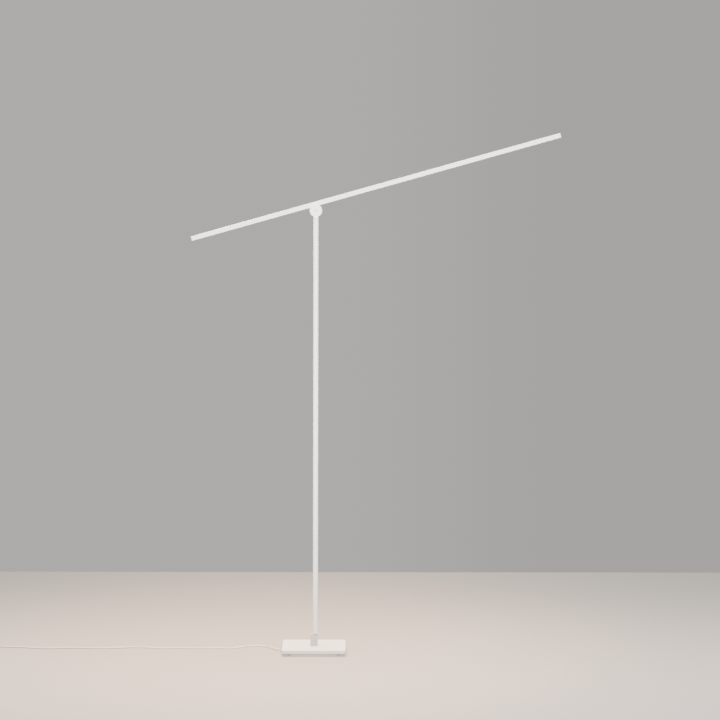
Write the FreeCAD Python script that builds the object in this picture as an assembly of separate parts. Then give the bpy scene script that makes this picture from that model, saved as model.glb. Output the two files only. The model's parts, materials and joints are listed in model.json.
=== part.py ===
import FreeCAD, Part
import math
import os
from FreeCAD import Placement, Rotation, Vector

# Adjustable arm floor lamp, in millimetres, standing on z = 0.
# The origin is on the floor under the middle of the base plate; +X is the long end of the arm,
# +Y is the back of the lamp and +Z is up.  Lengths are free of each other unless derived below.

# ---- overall sizes ----
base_width = 260.0
base_depth = 180.0
base_thick = 14.0
foot_height = 12.0
hub_height = 1820.0
arm_long_end = 1030.0
arm_short_end = 515.0
arm_angle = 15.8

# ---- clearances ----
screw_fit = 0.05
press_gap = 0.05
running_gap = 0.06
loose_gap = 0.3
flat_gap = 0.1

# ---- base plate, feet and driver tray ----
plate_corner = 3.0
plate_edge = 0.8
pocket_width = 160.0
pocket_depth = 70.0
foot_radius = 7.0
foot_taper = 0.6
foot_inset = 29.0
foot_screw_radius = 2.0
foot_screw_head = 3.8
foot_screw_grip = 9.0
tray_width = 182.0
tray_depth = 92.0
tray_wall = 1.2
tray_drop = 9.0
tray_screw_radius = 1.5
tray_screw_head = 2.8
tray_screw_head_height = 0.9
tray_screw_grip = 5.0
spacer_radius = 3.5

# ---- supply parts inside the tray ----
driver_length = 108.0
driver_width = 24.0
driver_height = 14.0
driver_left = -30.0
driver_front = 10.0
driver_headroom = 2.3
driver_edge = 1.5
pad_thick = 1.0
terminal_length = 18.0
terminal_width = 16.0
terminal_height = 12.0
terminal_left = -66.0
terminal_well = 1.8
terminal_well_depth = 3.0
clamp_left = -79.0
clamp_length = 9.0
clamp_width = 19.0
clamp_height = 8.0
clamp_screw_radius = 1.25
clamp_screw_head = 2.2
mains_lead_radius = 1.6
mains_lead_bend = 3.6
mains_lead_side = 3.0
low_lead_radius = 1.4
low_lead_bend = 4.5
low_lead_exit = 75.6

# ---- supply cord, its relief, coil and plug ----
cord_radius = 2.8
relief_length = 28.0
relief_thin_wall = 0.5
relief_thick_wall = 1.3
relief_flange_rim = 1.5
relief_flange_thick = 2.0
coil_x = -1375.0
coil_y = 24.0
coil_columns = 4
coil_layers = 2
coil_middle_radius = 30.7
coil_rim = 2.2
plug_width = 26.0
plug_thick = 14.0
plug_length = 35.0
plug_boot_length = 24.0
plug_boot_overlap = 3.0
plug_boot_root = 5.0
plug_edge = 4.2
pin_radius = 2.0
pin_length = 19.0
pin_spacing = 19.0
pin_tip = 1.2

# ---- foot block and pole swivel ----
block_width = 30.0
block_depth = 28.0
block_height = 46.0
block_edge = 1.0
pole_x = 5.5
block_screw_inset_x = 3.5
block_screw_inset_y = 3.0
block_screw_radius = 1.5
block_screw_head = 2.9
block_screw_head_height = 1.6
block_screw_grip = 12.0
shaft_radius = 6.0
bush_wall = 1.5
bush_length = 12.0
bush_flange_rim = 1.5
bush_flange_thick = 1.0
lead_bore = 2.2
spindle_flange_thick = 2.0
shaft_tip = 1.5
spigot_length = 40.0
swivel_washer_thick = 0.8
retaining_ring_thick = 1.1
retaining_ring_rim = 2.5
ring_groove_depth = 0.8
stop_pin_radius = 1.5
stop_pin_reach = 1.1
stop_pin_depth = 3.0
stop_screw_radius = 2.0
stop_screw_reach = 1.2
key_share = 0.55

# ---- pole ----
pole_radius = 10.5
pole_wall = 1.5
set_screw_radius = 2.0
set_screw_depth = 5.5
set_screw_sink = 0.4
head_screw_drops = (40.0, 56.0)
spindle_screw_rise = 20.0
pole_lead_radius = 1.6

# ---- hub ----
hub_radius = 25.0
hub_width = 30.0
cheek_edge = 0.8
eye_radius = 11.5
eye_thick = 8.0
neck_width = 16.0
friction_thick = 0.75
axle_radius = 4.0
axle_bore = 1.5
hub_bush_wall = 1.44
cheek_web = 2.4
nut_recess_depth = 3.4
nut_recess_radius = 8.2
cap_recess_radius = 20.0
axle_head_radius = 7.0
axle_head_thick = 3.0
disc_spring_thick = 0.4
disc_spring_radius = 7.6
nut_flats = 13.0
nut_height = 3.2
saddle_thick = 4.5
saddle_eye_gap = 1.0
saddle_half_length = 17.5
stop_horn_length = 3.5
stop_horn_gap = 0.3
cheek_screw_x = 9.0
cheek_screw_radius = 1.25
cheek_screw_head = 2.1
cheek_screw_head_height = 1.3
cheek_screw_grip = 3.5
saddle_screw_x = 13.7
saddle_screw_radius = 1.5
saddle_screw_head = 2.6
saddle_screw_head_height = 1.6
saddle_screw_grip = 5.0
cap_sink = 0.8
cap_thick = 2.4
cap_lip_thick = 1.3
cap_skirt = 1.6
board_thick = 0.8
board_gap = 0.1
board_notch = 2.2
button_radius = 8.0
button_flange = 10.5
button_flange_thick = 0.45
button_proud = 0.7
button_rim = 0.5
button_flange_gap = 0.1

# ---- arm ----
arm_height = 18.0
arm_depth = 14.0
arm_corner = 1.2
arm_wall = 1.4
web_bottom = 1.0
web_thick = 1.5
cap_plate = 2.0
cap_plug_length = 8.0
insert_length = 72.0
led_board_thick = 1.6
led_board_width = 10.6
chip_length = 3.5
chip_width = 2.8
chip_height = 0.8
chip_pitch = 18.0
diffuser_skin = 1.6
diffuser_leg = 1.0
diffuser_height = 7.0
arm_lead_reach = 60.0
arm_lead_rise = 2.4
arm_lead_bend = 2.3
lead_hole_room = 0.4
lead_slot_room = 0.6
board_end_gap = 3.0

# ---- derived heights ----
plate_bottom = foot_height
plate_top = foot_height + base_thick
tray_bottom = plate_bottom - tray_drop
tray_inside = tray_bottom + tray_wall
pocket_top = tray_inside + pad_thick + driver_height + driver_headroom
block_top = plate_top + block_height
bush_radius = shaft_radius + bush_wall
bush_flange_radius = bush_radius + bush_flange_rim
skin_hole_radius = bush_flange_radius + loose_gap
retaining_ring_radius = shaft_radius + retaining_ring_rim
stop_height = plate_top + block_height / 2
block_screw_x = block_width / 2 - block_screw_inset_x
block_screw_y = block_depth / 2 - block_screw_inset_y
spindle_bottom = block_top + bush_flange_thick + press_gap
tube_bottom = spindle_bottom + spindle_flange_thick
tube_inside = pole_radius - pole_wall
cope_radius = hub_radius + 0.6
spigot_radius = tube_inside - press_gap
lower_flange_bottom = plate_top - bush_flange_thick
washer_top = lower_flange_bottom - flat_gap
ring_top = washer_top - swivel_washer_thick
shaft_bottom = ring_top - retaining_ring_thick - shaft_tip
relief_flange = cord_radius + relief_flange_rim
relief_thick_end = cord_radius + relief_thick_wall
relief_thin_end = cord_radius + relief_thin_wall
cord_exit_height = plate_bottom - relief_flange - loose_gap

# ---- derived hub depths, measured from the middle plane of the lamp ----
gap_half = eye_thick / 2 + friction_thick + press_gap
web_face = gap_half + cheek_web
recess_floor = web_face + nut_recess_depth
cheek_face = hub_width / 2
cap_face = cheek_face - cap_sink
saddle_bottom = eye_radius + saddle_eye_gap
saddle_top = saddle_bottom + saddle_thick
arm_offset = saddle_top + arm_height / 2
tray_screw_x = (pocket_width + tray_width - 2 * tray_wall) / 4
tray_screw_y = (pocket_depth + tray_depth - 2 * tray_wall) / 4
relief_end = -tray_width / 2 - relief_flange_thick - relief_length
coil_outer_row = coil_middle_radius + (coil_columns - 1) * cord_radius

# The cord's route from the end of its relief to the coil, chosen point by point.
cord_route = [
    (relief_end, 0.0, cord_exit_height),
    (-135.0, 0.0, cord_exit_height),
    (-151.0, 7.5, 6.2),
    (-166.0, 26.0, 4.2),
    (-181.0, 48.0, cord_radius),
    (-204.0, 71.0, cord_radius),
    (-243.0, 84.0, cord_radius),
    (-283.0, 72.0, cord_radius),
    (-317.0, 46.0, cord_radius),
    (-352.0, 31.0, cord_radius),
    (-405.0, 44.0, cord_radius),
    (-468.0, 34.0, cord_radius),
    (-545.0, 40.0, cord_radius),
    (-620.0, 35.0, cord_radius),
    (-698.0, 49.0, cord_radius),
    (-775.0, 53.0, cord_radius),
    (-850.0, 36.0, cord_radius),
    (-929.0, 34.0, cord_radius),
    (-1008.0, 43.0, cord_radius),
    (-1085.0, 33.0, cord_radius),
    (-1160.0, 38.0, cord_radius),
    (-1235.0, 53.0, cord_radius),
    (-1308.0, 61.0, cord_radius),
    (coil_x, coil_y + coil_outer_row, cord_radius),
]


# ---- small shape helpers ----
def box(x0, x1, y0, y1, z0, z1):
    return Part.makeBox(x1 - x0, y1 - y0, z1 - z0, Vector(x0, y0, z0))


def rod(radius, start, end):
    """A round bar between two points."""
    a = Vector(*start)
    b = Vector(*end)
    return Part.makeCylinder(radius, (b - a).Length, a, b - a)


def tube(outer, inner, start, end):
    return rod(outer, start, end).cut(rod(inner, start, end))


def cone(start_radius, end_radius, start, end):
    a = Vector(*start)
    b = Vector(*end)
    return Part.makeCone(start_radius, end_radius, (b - a).Length, a, b - a)


def group(shapes):
    return Part.makeCompound(shapes)


def corners(x, y):
    return [(sx * x, sy * y) for sx in (-1, 1) for sy in (-1, 1)]


def edges_along(shape, axis, keep=None):
    """The straight edges parallel to an axis, filtered by their middle point."""
    found = []
    for edge in shape.Edges:
        if not isinstance(edge.Curve, Part.Line):
            continue
        first, last = edge.Vertexes[0].Point, edge.Vertexes[-1].Point
        direction = last - first
        if direction.Length < 1e-6:
            continue
        if abs(direction.normalize().dot(Vector(*axis))) < 0.999:
            continue
        if keep is None or keep((first + last) * 0.5):
            found.append(edge)
    return found


def round_box(x0, x1, y0, y1, z0, z1, radius, axis):
    block = box(x0, x1, y0, y1, z0, z1)
    return block.makeFillet(radius, edges_along(block, axis))


def bent_wire(points, bend=None):
    """Straight runs joined by tangent arcs; prints the smallest arc when bend isn't given."""
    points = [Vector(*p) for p in points]
    edges = []
    radii = []
    start = points[0]
    for before, corner, after in zip(points, points[1:], points[2:]):
        into = (corner - before).normalize()
        out = (after - corner).normalize()
        turn = into.getAngle(out)
        shorter = min((corner - before).Length, (after - corner).Length)
        radius = bend or 0.45 * shorter / math.tan(turn / 2)
        radii.append(radius)
        setback = radius * math.tan(turn / 2)
        arc_in = corner - into * setback
        arc_out = corner + out * setback
        middle_way = (out - into).normalize()
        to_centre = radius / math.cos(turn / 2)
        arc_mid = corner + middle_way * (to_centre - radius)
        edges.append(Part.LineSegment(start, arc_in).toShape())
        edges.append(Part.Arc(arc_in, arc_mid, arc_out).toShape())
        start = arc_out
    edges.append(Part.LineSegment(start, points[-1]).toShape())
    return Part.Wire(edges), radii


def swept_tube(points, radius, bend=None):
    wire, radii = bent_wire(points, bend)
    first = Vector(*points[0])
    heading = Vector(*points[1]) - first
    section = Part.Wire(Part.makeCircle(radius, first, heading))
    return wire.makePipeShell([section], True, False), wire, radii


def on_arm(shape):
    """Moves a shape drawn about the hub, with the arm level, to its place on the lamp."""
    turn = Rotation(Vector(0, 1, 0), -arm_angle)
    placed = shape.copy()
    placed.Placement = Placement(Vector(pole_x, 0, hub_height), turn).multiply(placed.Placement)
    return placed


def on_hub(shape):
    """Moves a shape drawn about the hub to the hub's height without turning it."""
    placed = shape.copy()
    placed.translate(Vector(pole_x, 0, hub_height))
    return placed


# ---- base ----
def base_plate():
    half_x, half_y = base_width / 2, base_depth / 2
    plate = box(-half_x, half_x, -half_y, half_y, plate_bottom, plate_top)
    plate = plate.makeFillet(plate_corner, edges_along(plate, (0, 0, 1)))
    top_edges = [e for e in plate.Edges if all(v.Point.z > plate_top - 1e-3 for v in e.Vertexes)]
    plate = plate.makeFillet(plate_edge, top_edges)
    px, py = pocket_width / 2, pocket_depth / 2
    plate = plate.cut(round_box(-px, px, -py, py, plate_bottom, pocket_top, plate_corner, (0, 0, 1)))
    plate = plate.cut(rod(skin_hole_radius, (pole_x, 0, pocket_top), (pole_x, 0, plate_top)))
    for x, y in corners(block_screw_x, block_screw_y):
        hole = block_screw_radius + screw_fit
        head = block_screw_head + screw_fit
        head_top = pocket_top + block_screw_head_height
        plate = plate.cut(rod(hole, (x, y, pocket_top), (x, y, plate_top)))
        plate = plate.cut(cone(head, hole, (x, y, pocket_top), (x, y, head_top)))
    for x, y in corners(half_x - foot_inset, half_y - foot_inset):
        plate = plate.cut(
            rod(foot_screw_radius + screw_fit, (x, y, plate_bottom), (x, y, plate_bottom + foot_screw_grip))
        )
    for x, y in corners(tray_screw_x, tray_screw_y):
        plate = plate.cut(
            rod(tray_screw_radius + screw_fit, (x, y, plate_bottom), (x, y, plate_bottom + tray_screw_grip))
        )
    return plate


def base_feet():
    feet = []
    recess = foot_screw_head + loose_gap
    for x, y in corners(base_width / 2 - foot_inset, base_depth / 2 - foot_inset):
        foot = cone(foot_radius - foot_taper, foot_radius, (x, y, 0), (x, y, foot_height))
        foot = foot.cut(rod(recess, (x, y, 0), (x, y, foot_height / 3)))
        foot = foot.cut(rod(foot_screw_radius + screw_fit, (x, y, 0), (x, y, foot_height)))
        feet.append(foot)
    return group(feet)


def pan_screw(x, y, head_bottom, head_top, end, shank, head):
    """A pan-head screw standing up, its drive slot cut across the head."""
    body = rod(head, (x, y, head_bottom), (x, y, head_top)).fuse(rod(shank, (x, y, head_top), (x, y, end)))
    slot_half = shank / 5
    slot_depth = (head_top - head_bottom) / 2
    return body.cut(
        box(x - head, x + head, y - slot_half, y + slot_half, head_bottom, head_bottom + slot_depth)
    )


def foot_screws():
    head_top = foot_height / 3
    end = plate_bottom + foot_screw_grip - flat_gap
    return group(
        [
            pan_screw(x, y, head_top / 2, head_top, end, foot_screw_radius, foot_screw_head)
            for x, y in corners(base_width / 2 - foot_inset, base_depth / 2 - foot_inset)
        ]
    )


def driver_tray():
    half_x, half_y = tray_width / 2, tray_depth / 2
    tray = round_box(-half_x, half_x, -half_y, half_y, tray_bottom, plate_bottom, plate_corner, (0, 0, 1))
    inner_x, inner_y = half_x - tray_wall, half_y - tray_wall
    inside = round_box(
        -inner_x, inner_x, -inner_y, inner_y, tray_inside, plate_bottom, plate_corner - tray_wall, (0, 0, 1)
    )
    tray = tray.cut(inside)
    for x, y in corners(tray_screw_x, tray_screw_y):
        tray = tray.cut(rod(tray_screw_radius + loose_gap, (x, y, tray_bottom), (x, y, tray_inside)))
    for y in clamp_screw_places():
        x = clamp_left + clamp_length / 2
        tray = tray.cut(rod(clamp_screw_radius + screw_fit, (x, y, tray_bottom), (x, y, tray_inside)))
    neck = relief_thin_end + screw_fit
    return tray.cut(rod(neck, (-half_x, 0, cord_exit_height), (-inner_x, 0, cord_exit_height)))


def tray_spacers():
    return group(
        [
            tube(spacer_radius, tray_screw_radius + loose_gap, (x, y, tray_inside), (x, y, plate_bottom))
            for x, y in corners(tray_screw_x, tray_screw_y)
        ]
    )


def tray_screws():
    end = plate_bottom + tray_screw_grip - flat_gap
    head_bottom = tray_bottom - tray_screw_head_height
    return group(
        [
            pan_screw(x, y, head_bottom, tray_bottom, end, tray_screw_radius, tray_screw_head)
            for x, y in corners(tray_screw_x, tray_screw_y)
        ]
    )


# ---- supply parts in the tray ----
def driver_pad():
    x1 = driver_left + driver_length
    y1 = driver_front + driver_width
    return box(driver_left, x1, driver_front, y1, tray_inside, tray_inside + pad_thick)


def led_driver():
    bottom = tray_inside + pad_thick
    x1 = driver_left + driver_length
    y1 = driver_front + driver_width
    case = box(driver_left, x1, driver_front, y1, bottom, bottom + driver_height)
    return case.makeFillet(driver_edge, edges_along(case, (0, 0, 1)))


def terminal_block():
    x1 = terminal_left + terminal_length
    half = terminal_width / 2
    block = box(terminal_left, x1, -half, half, tray_inside, tray_inside + terminal_height)
    top = tray_inside + terminal_height
    for y in (-half / 2, half / 2):
        for x in (terminal_left + terminal_length / 4, x1 - terminal_length / 4):
            block = block.cut(rod(terminal_well, (x, y, top - terminal_well_depth), (x, y, top)))
    return block


def mains_lead():
    start = terminal_left + terminal_length
    height = tray_inside + terminal_height / 2
    middle = (start + driver_left) / 2
    entry = driver_front + driver_width / 2
    route = [
        (start, mains_lead_side, height),
        (middle, mains_lead_side, height),
        (middle, entry, height),
        (driver_left, entry, height),
    ]
    return swept_tube(route, mains_lead_radius, mains_lead_bend)[0]


def base_lead():
    exit_x = driver_left + low_lead_exit
    height = tray_inside + terminal_height / 2
    route = [
        (exit_x, driver_front, height),
        (exit_x, 0, height),
        (pole_x, 0, height),
        (pole_x, 0, shaft_bottom - flat_gap),
    ]
    return swept_tube(route, low_lead_radius, low_lead_bend)[0]


def clamp_screw_places():
    edge = clamp_width / 2 - clamp_screw_head - flat_gap
    return (-edge, edge)


def cord_clamp():
    x1 = clamp_left + clamp_length
    half = clamp_width / 2
    clamp = box(clamp_left, x1, -half, half, tray_inside, tray_inside + clamp_height)
    channel = cord_radius + press_gap
    clamp = clamp.cut(rod(channel, (clamp_left, 0, cord_exit_height), (x1, 0, cord_exit_height)))
    clamp = clamp.cut(box(clamp_left, x1, -channel, channel, tray_inside, cord_exit_height))
    x = clamp_left + clamp_length / 2
    top = tray_inside + clamp_height
    for y in clamp_screw_places():
        clamp = clamp.cut(rod(clamp_screw_radius + screw_fit, (x, y, tray_inside), (x, y, top)))
    return clamp


def clamp_screws():
    x = clamp_left + clamp_length / 2
    top = tray_inside + clamp_height
    screws = []
    for y in clamp_screw_places():
        shank = rod(clamp_screw_radius, (x, y, tray_bottom), (x, y, top))
        screws.append(shank.fuse(rod(clamp_screw_head, (x, y, top), (x, y, top + clamp_screw_radius))))
    return group(screws)


def strain_relief():
    wall_outer = -tray_width / 2
    wall_inner = wall_outer + tray_wall
    flange_end = wall_outer - relief_flange_thick
    z = cord_exit_height
    neck = rod(relief_thin_end, (wall_inner, 0, z), (wall_outer, 0, z))
    flange = rod(relief_flange, (wall_outer, 0, z), (flange_end, 0, z))
    sleeve = cone(relief_thick_end, relief_thin_end, (flange_end, 0, z), (relief_end, 0, z))
    body = neck.fuse([flange, sleeve])
    return body.cut(rod(cord_radius + press_gap, (wall_inner, 0, z), (relief_end, 0, z)))


def cord_tail():
    z = cord_exit_height
    return rod(cord_radius, (relief_end, 0, z), (terminal_left, 0, z))


# ---- free cord, coil and plug ----
def supply_cord():
    shape, wire, radii = swept_tube(cord_route, cord_radius)
    expected = math.pi * cord_radius**2 * wire.Length
    print("supply cord: length %.1f, volume ratio %.4f" % (wire.Length, shape.Volume / expected))
    print("supply cord radii:", [round(r, 1) for r in radii])
    return shape


def cord_coil():
    outer = coil_outer_row + cord_radius
    inner = coil_middle_radius - coil_columns * cord_radius
    height = coil_layers * 2 * cord_radius
    ring = tube(outer, inner, (coil_x, coil_y, 0), (coil_x, coil_y, height))
    rims = [e for e in ring.Edges if isinstance(e.Curve, Part.Circle)]
    return ring.makeFillet(coil_rim, rims)


def plug_start():
    """Where the plug's boot begins, just inside the coil's outer row on its far side."""
    outer = coil_outer_row + cord_radius
    reach = math.sqrt(outer**2 - coil_outer_row**2)
    return Vector(coil_x - coil_outer_row, coil_y - reach + plug_boot_overlap, plug_thick / 2)


def plug_body():
    start = plug_start()
    x, y, z = start.x, start.y, start.z
    boot = cone(cord_radius + loose_gap, plug_boot_root, (x, y, z), (x, y - plug_boot_length, z))
    front = y - plug_boot_length - plug_length
    half = plug_width / 2
    body = box(x - half, x + half, front, y - plug_boot_length, 0, plug_thick)
    body = body.makeFillet(plug_edge, edges_along(body, (0, 1, 0)))
    return body.fuse(boot)


def plug_pins():
    start = plug_start()
    front = start.y - plug_boot_length - plug_length
    pins = []
    for side in (-1, 1):
        x = start.x + side * pin_spacing / 2
        pin = rod(pin_radius, (x, front, start.z), (x, front - pin_length, start.z))
        tip = [e for e in pin.Edges if isinstance(e.Curve, Part.Circle) and e.CenterOfMass.y < front - 1]
        pins.append(pin.makeFillet(pin_tip, tip))
    return group(pins)


# ---- foot block and its swivel ----
def foot_block():
    half_x, half_y = block_width / 2, block_depth / 2
    block = round_box(-half_x, half_x, -half_y, half_y, plate_top, block_top, block_edge, (0, 0, 1))
    block = block.cut(rod(bush_radius + press_gap, (pole_x, 0, plate_top), (pole_x, 0, block_top)))
    for x, y in corners(block_screw_x, block_screw_y):
        block = block.cut(
            rod(block_screw_radius + screw_fit, (x, y, plate_top), (x, y, plate_top + block_screw_grip))
        )
    tapped = rod(stop_screw_radius + screw_fit, (pole_x, 0, stop_height), (pole_x, half_y, stop_height))
    return block.cut(tapped)


def block_screws():
    screws = []
    end = plate_top + block_screw_grip - flat_gap
    head_top = pocket_top + block_screw_head_height
    for x, y in corners(block_screw_x, block_screw_y):
        shank = rod(block_screw_radius, (x, y, pocket_top), (x, y, end))
        head = cone(block_screw_head, block_screw_radius, (x, y, pocket_top), (x, y, head_top))
        screws.append(shank.fuse(head))
    return group(screws)


def flanged_bush(inner, flange_at, flange_end, body_end):
    body = rod(bush_radius, (pole_x, 0, flange_at), (pole_x, 0, body_end))
    flange = rod(bush_flange_radius, (pole_x, 0, flange_at), (pole_x, 0, flange_end))
    bore = rod(inner, (pole_x, 0, min(flange_end, body_end)), (pole_x, 0, max(flange_end, body_end)))
    return body.fuse(flange).cut(bore)


def upper_bush():
    bore = shaft_radius + running_gap
    return flanged_bush(bore, block_top, block_top + bush_flange_thick, block_top - bush_length)


def lower_bush():
    bore = shaft_radius + running_gap
    return flanged_bush(bore, plate_top, lower_flange_bottom, plate_top + bush_length)


def swivel_stop_screw():
    inner = bush_radius - stop_screw_reach
    outer = block_depth / 2 - set_screw_sink
    screw = rod(stop_screw_radius, (pole_x, inner, stop_height), (pole_x, outer, stop_height))
    return hex_socket(screw, Vector(pole_x, outer, stop_height), Vector(0, -1, 0), stop_screw_radius)


def hex_socket(screw, face, inwards, radius):
    """Cuts a hexagon key socket into a grub screw's outer end."""
    key = radius * key_share
    depth = radius
    side = inwards.cross(Vector(1, 0, 0)) if abs(inwards.x) < 0.5 else inwards.cross(Vector(0, 1, 0))
    other = inwards.cross(side)
    ring = []
    for n in range(7):
        angle = n * math.pi / 3
        ring.append(face + side * (key * math.cos(angle)) + other * (key * math.sin(angle)))
    prism = Part.Face(Part.makePolygon(ring)).extrude(inwards * depth)
    return screw.cut(prism)


def pole_spindle():
    flange = rod(pole_radius, (pole_x, 0, spindle_bottom), (pole_x, 0, tube_bottom))
    spigot = rod(spigot_radius, (pole_x, 0, tube_bottom), (pole_x, 0, tube_bottom + spigot_length))
    shaft = rod(shaft_radius, (pole_x, 0, shaft_bottom), (pole_x, 0, spindle_bottom))
    body = flange.fuse([spigot, shaft])
    bore = rod(lead_bore, (pole_x, 0, shaft_bottom), (pole_x, 0, tube_bottom + spigot_length))
    groove = tube(
        shaft_radius + 1,
        shaft_radius - ring_groove_depth,
        (pole_x, 0, ring_top - retaining_ring_thick),
        (pole_x, 0, ring_top),
    )
    pin_start = -shaft_radius - stop_pin_reach
    pin_hole = rod(stop_pin_radius, (pole_x, pin_start, stop_height), (pole_x, -stop_pin_depth, stop_height))
    body = body.cut([bore, groove, pin_hole])
    hole_z = tube_bottom + spindle_screw_rise
    return body.cut(set_screw_hole(hole_z))


def set_screw_hole(z):
    inner = pole_radius - set_screw_depth
    return rod(set_screw_radius + screw_fit, (pole_x, inner, z), (pole_x, pole_radius + 1, z))


def set_screw_heights():
    return [tube_bottom + spindle_screw_rise] + [hub_height - drop for drop in head_screw_drops]


def pole_set_screws():
    screws = []
    inner = pole_radius - set_screw_depth
    outer = pole_radius - set_screw_sink
    for z in set_screw_heights():
        screw = rod(set_screw_radius, (pole_x, inner, z), (pole_x, outer, z))
        screws.append(hex_socket(screw, Vector(pole_x, outer, z), Vector(0, -1, 0), set_screw_radius))
    return group(screws)


def swivel_stop_pin():
    reach = shaft_radius + stop_pin_reach
    return rod(stop_pin_radius, (pole_x, -reach, stop_height), (pole_x, -stop_pin_depth, stop_height))


def swivel_washer():
    bottom = washer_top - swivel_washer_thick
    return tube(bush_flange_radius, shaft_radius + loose_gap, (pole_x, 0, bottom), (pole_x, 0, washer_top))


def retaining_ring():
    bottom = ring_top - retaining_ring_thick
    inner = shaft_radius - ring_groove_depth
    ring = tube(retaining_ring_radius, inner, (pole_x, 0, bottom), (pole_x, 0, ring_top))
    gap = inner * 0.8
    return ring.cut(box(pole_x - gap, pole_x + gap, 0, retaining_ring_radius, bottom, ring_top))


# ---- pole ----
def pole_tube():
    body = tube(pole_radius, tube_inside, (pole_x, 0, tube_bottom), (pole_x, 0, hub_height))
    cope = rod(cope_radius, (pole_x, -pole_radius - 1, hub_height), (pole_x, pole_radius + 1, hub_height))
    body = body.cut(cope)
    for z in set_screw_heights():
        body = body.cut(set_screw_hole(z))
    return body


def pole_head():
    bottom = -cope_radius - spigot_length
    spigot = rod(spigot_radius, (0, 0, bottom), (0, 0, -eye_radius))
    spigot = spigot.cut(rod(cope_radius, (0, -pole_radius, 0), (0, pole_radius, 0)))
    half = eye_thick / 2
    neck = box(-neck_width / 2, neck_width / 2, -half, half, -cope_radius - 2, 0)
    eye = rod(eye_radius, (0, -half, 0), (0, half, 0))
    head = spigot.fuse([neck, eye])
    bush_hole = rod(axle_radius + running_gap + hub_bush_wall + press_gap, (0, -half, 0), (0, half, 0))
    head = head.cut([bush_hole, rod(lead_bore, (0, 0, bottom), (0, 0, 0))])
    head = on_hub(head)
    for drop in head_screw_drops:
        head = head.cut(set_screw_hole(hub_height - drop))
    return head


def hub_bush():
    half = eye_thick / 2
    inner = axle_radius + running_gap
    return on_hub(tube(inner + hub_bush_wall, inner, (0, -half, 0), (0, half, 0)))


def friction_washers():
    half = eye_thick / 2
    washers = []
    for side in (-1, 1):
        near, far = side * half, side * (half + friction_thick)
        washers.append(tube(eye_radius, axle_radius + loose_gap, (0, near, 0), (0, far, 0)))
    return on_hub(group(washers))


def pole_lead():
    top = hub_height - axle_radius - hub_bush_wall - 1.0
    return rod(pole_lead_radius, (pole_x, 0, shaft_bottom), (pole_x, 0, top))


# ---- hub cheeks and what they hold; drawn level, front at -Y ----
def cheek(side, recess):
    """One round cheek; side is -1 for the front and 1 for the rear."""
    disc = rod(hub_radius, (0, side * gap_half, 0), (0, side * cheek_face, 0))
    circles = [e for e in disc.Edges if isinstance(e.Curve, Part.Circle)]
    disc = disc.makeFillet(cheek_edge, [e for e in circles if abs(e.CenterOfMass.y) > web_face])
    seat = arm_depth / 2 + press_gap
    y0, y1 = sorted((0, side * seat))
    disc = disc.cut(box(-hub_radius, hub_radius, y0, y1, saddle_top, hub_radius + 1))
    disc = disc.cut(rod(cap_recess_radius, (0, side * recess, 0), (0, side * cheek_face, 0)))
    disc = disc.cut(rod(nut_recess_radius, (0, side * web_face, 0), (0, side * recess, 0)))
    disc = disc.cut(rod(axle_radius + screw_fit, (0, side * gap_half, 0), (0, side * web_face, 0)))
    for x in (-cheek_screw_x, cheek_screw_x):
        z = saddle_bottom + saddle_thick / 2
        head_floor = recess - cheek_screw_head_height
        disc = disc.cut(rod(cheek_screw_radius + screw_fit, (x, side * gap_half, z), (x, side * recess, z)))
        disc = disc.cut(rod(cheek_screw_head + screw_fit, (x, side * head_floor, z), (x, side * recess, z)))
    return disc


def front_cheek():
    z = saddle_bottom + saddle_thick / 2
    lead_hole = rod(low_lead_radius + lead_hole_room, (0, -gap_half, z), (0, -recess_floor, z))
    return on_arm(cheek(-1, recess_floor).cut(lead_hole))


def rear_cheek():
    return on_arm(cheek(1, recess_floor))


def arm_saddle():
    half = gap_half
    bar = box(-saddle_half_length, saddle_half_length, -half, half, saddle_bottom, saddle_top)
    horn_bottom = neck_width / 2 + stop_horn_gap
    inner = saddle_half_length - stop_horn_length
    left = box(-saddle_half_length, -inner, -half, half, horn_bottom, saddle_bottom)
    right = box(inner, saddle_half_length, -half, half, horn_bottom, saddle_bottom)
    body = bar.fuse([left, right]).removeSplitter()
    outline = rod(hub_radius - cheek_edge, (0, -half, 0), (0, half, 0))
    body = body.common(outline)
    slot = low_lead_radius + lead_slot_room
    body = body.cut(box(-slot, slot, -half, slot, saddle_bottom, saddle_top))
    z = saddle_bottom + saddle_thick / 2
    for x in (-cheek_screw_x, cheek_screw_x):
        body = body.cut(rod(cheek_screw_radius + screw_fit, (x, -half, z), (x, half, z)))
    for x in (-saddle_screw_x, saddle_screw_x):
        hole = saddle_screw_radius + screw_fit
        head = saddle_screw_head + screw_fit
        head_top = saddle_bottom + saddle_screw_head_height
        body = body.cut(rod(hole, (x, 0, saddle_bottom), (x, 0, saddle_top)))
        body = body.cut(rod(head, (x, 0, 0), (x, 0, head_top)))
    return on_arm(body)


def cheek_screws():
    screws = []
    z = saddle_bottom + saddle_thick / 2
    for side in (-1, 1):
        for x in (-cheek_screw_x, cheek_screw_x):
            head_floor = side * (recess_floor - cheek_screw_head_height)
            top = side * recess_floor
            end = side * (gap_half - cheek_screw_grip)
            shank = rod(cheek_screw_radius, (x, end, z), (x, head_floor, z))
            screws.append(shank.fuse(rod(cheek_screw_head, (x, head_floor, z), (x, top, z))))
    return on_arm(group(screws))


def saddle_screws():
    screws = []
    head_top = saddle_bottom + saddle_screw_head_height
    for x in (-saddle_screw_x, saddle_screw_x):
        head = rod(saddle_screw_head, (x, 0, saddle_bottom), (x, 0, head_top))
        shank = rod(saddle_screw_radius, (x, 0, head_top), (x, 0, saddle_top + saddle_screw_grip))
        screws.append(head.fuse(shank))
    return on_arm(group(screws))


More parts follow.
